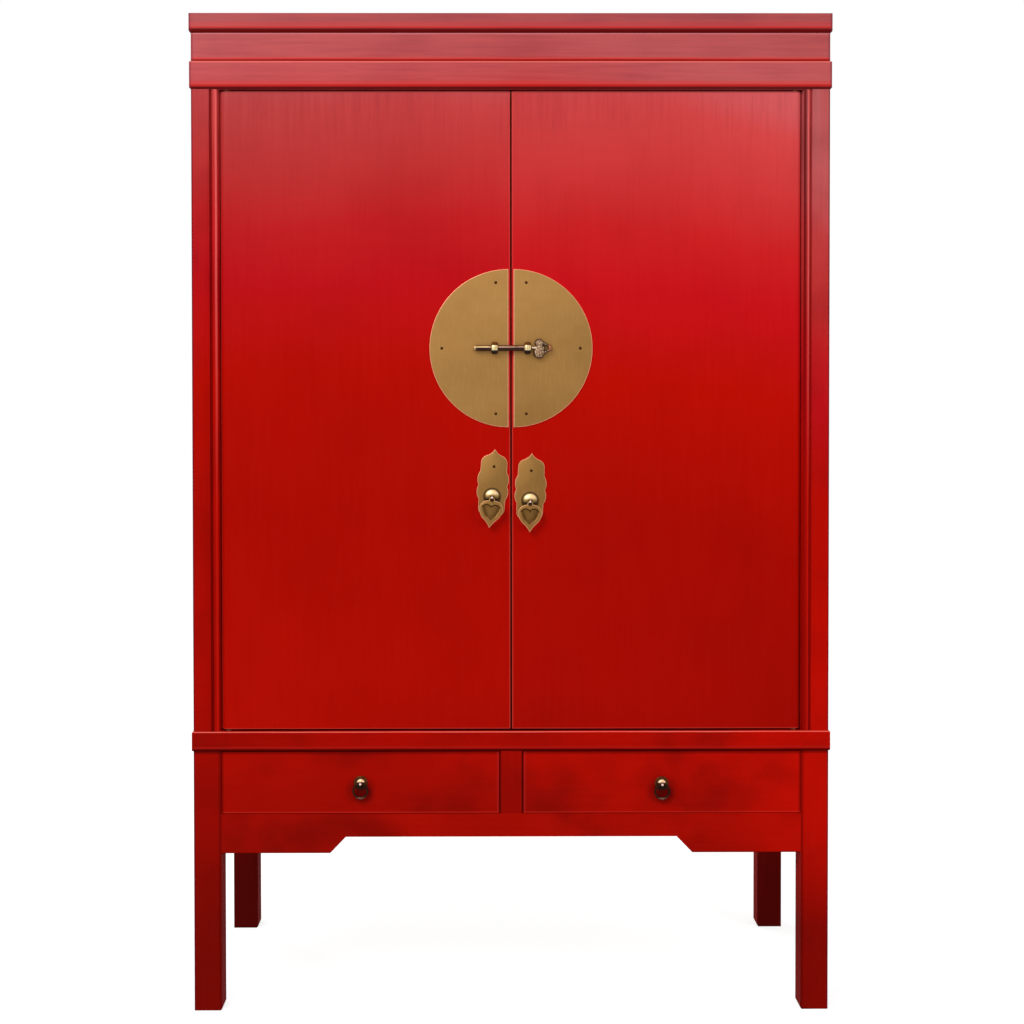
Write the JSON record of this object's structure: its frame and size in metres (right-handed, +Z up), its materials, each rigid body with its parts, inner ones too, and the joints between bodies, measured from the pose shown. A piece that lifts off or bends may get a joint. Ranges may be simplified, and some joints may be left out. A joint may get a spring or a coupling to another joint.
{
  "type": "wedding cabinet",
  "caption": "Tall lacquered cabinet on square legs with double doors, a round brass lock plate with draw pin, lobed brass door pulls and ring-pull drawers below.",
  "frame": {"origin": "on the floor, under the middle of the case; the hardware in front moves the middle of the bounding box about 8 mm forward of it", "axes": "+Z up along the posts, doors and drawers face -Y, +X to the right-hand door as seen from the front"},
  "size_m": [1.201, 0.5722, 1.87],
  "materials": {
    "red_lacquer": "worn satin red lacquer over wood",
    "plain_wood": "plain unpolished wood",
    "brass": "satin aged brass sheet",
    "antique_brass": "dark antique cast brass"
  },
  "bodies": {
    "case": {"back_panels": "plain_wood", "back_stile": "plain_wood", "belt_rail_ends": "red_lacquer", "belt_rail_front": "red_lacquer", "belt_rail_rear": "red_lacquer", "cornice_band_ends": "red_lacquer", "cornice_band_front": "red_lacquer", "cornice_band_rear": "red_lacquer", "door_stop": "plain_wood", "drawer_divider": "red_lacquer", "drawer_runners": "plain_wood", "frieze_ends": "red_lacquer", "frieze_front": "red_lacquer", "frieze_rear": "red_lacquer", "front_apron": "red_lacquer", "left_front_post": "red_lacquer", "left_jamb_strip": "red_lacquer", "left_rear_post": "red_lacquer", "left_side_panel": "red_lacquer", "lower_shelf": "plain_wood", "main_floor": "plain_wood", "rear_apron": "plain_wood", "right_front_post": "red_lacquer", "right_jamb_strip": "red_lacquer", "right_rear_post": "red_lacquer", "right_side_panel": "red_lacquer", "shelf_cleats": "plain_wood", "side_aprons": "red_lacquer", "top_frame_ends": "red_lacquer", "top_frame_front": "red_lacquer", "top_frame_rear": "red_lacquer", "top_panel": "red_lacquer", "upper_shelf": "plain_wood"},
    "left_door": {"left_door_panel": "red_lacquer", "left_door_battens": "plain_wood", "left_door_pivots": "plain_wood", "left_door_nails": "brass", "left_moon_plate": "brass", "left_lock_staple": "antique_brass", "left_pull_plate": "brass", "left_pull_boss": "brass"},
    "left_pendant": {"left_pendant": "brass"},
    "left_drawer": {"left_drawer_front": "red_lacquer", "left_drawer_box": "plain_wood", "left_drawer_rose": "antique_brass"},
    "left_drawer_ring": {"left_drawer_ring": "antique_brass"},
    "right_door": {"right_door_panel": "red_lacquer", "right_door_battens": "plain_wood", "right_door_pivots": "plain_wood", "right_door_nails": "brass", "right_moon_plate": "brass", "right_lock_staple": "antique_brass", "right_pull_plate": "brass", "right_pull_boss": "brass"},
    "right_pendant": {"right_pendant": "brass"},
    "right_drawer": {"right_drawer_front": "red_lacquer", "right_drawer_box": "plain_wood", "right_drawer_rose": "antique_brass"},
    "right_drawer_ring": {"right_drawer_ring": "antique_brass"},
    "lock_pin": {"lock_pin": "antique_brass"}
  },
  "joints": [
    {"name": "left_door_hinge", "type": "hinge", "parent": "case", "child": "left_door", "pos_m": [-0.5325, -0.259, 0.53], "axis": [0, 0, -1], "range_deg": [0, 95]},
    {"name": "right_door_hinge", "type": "hinge", "parent": "case", "child": "right_door", "pos_m": [0.5325, -0.259, 0.53], "axis": [0, 0, 1], "range_deg": [0, 95]},
    {"name": "lock_pin_draw", "type": "slide", "parent": "right_door", "child": "lock_pin", "axis": [1, 0, 0], "range_m": [0, 0.1]},
    {"name": "left_pendant_swing", "type": "hinge", "parent": "left_door", "child": "left_pendant", "pos_m": [-0.0357, -0.2855, 0.968], "axis": [-0.9979, 0, 0.0645], "range_deg": [-7, 120]},
    {"name": "right_pendant_swing", "type": "hinge", "parent": "right_door", "child": "right_pendant", "pos_m": [0.0356, -0.2855, 0.9602], "axis": [-0.9992, 0, 0.0401], "range_deg": [-7, 120]},
    {"name": "left_drawer_slide", "type": "slide", "parent": "case", "child": "left_drawer", "axis": [0, -1, 0], "range_m": [0, 0.38]},
    {"name": "right_drawer_slide", "type": "slide", "parent": "case", "child": "right_drawer", "axis": [0, -1, 0], "range_m": [0, 0.38]},
    {"name": "left_ring_swing", "type": "hinge", "parent": "left_drawer", "child": "left_drawer_ring", "pos_m": [-0.283, -0.2848, 0.43], "axis": [-1, 0, 0], "range_deg": [-10, 110]},
    {"name": "right_ring_swing", "type": "hinge", "parent": "right_drawer", "child": "right_drawer_ring", "pos_m": [0.283, -0.2848, 0.428], "axis": [-1, 0, 0], "range_deg": [-10, 110]}
  ]
}
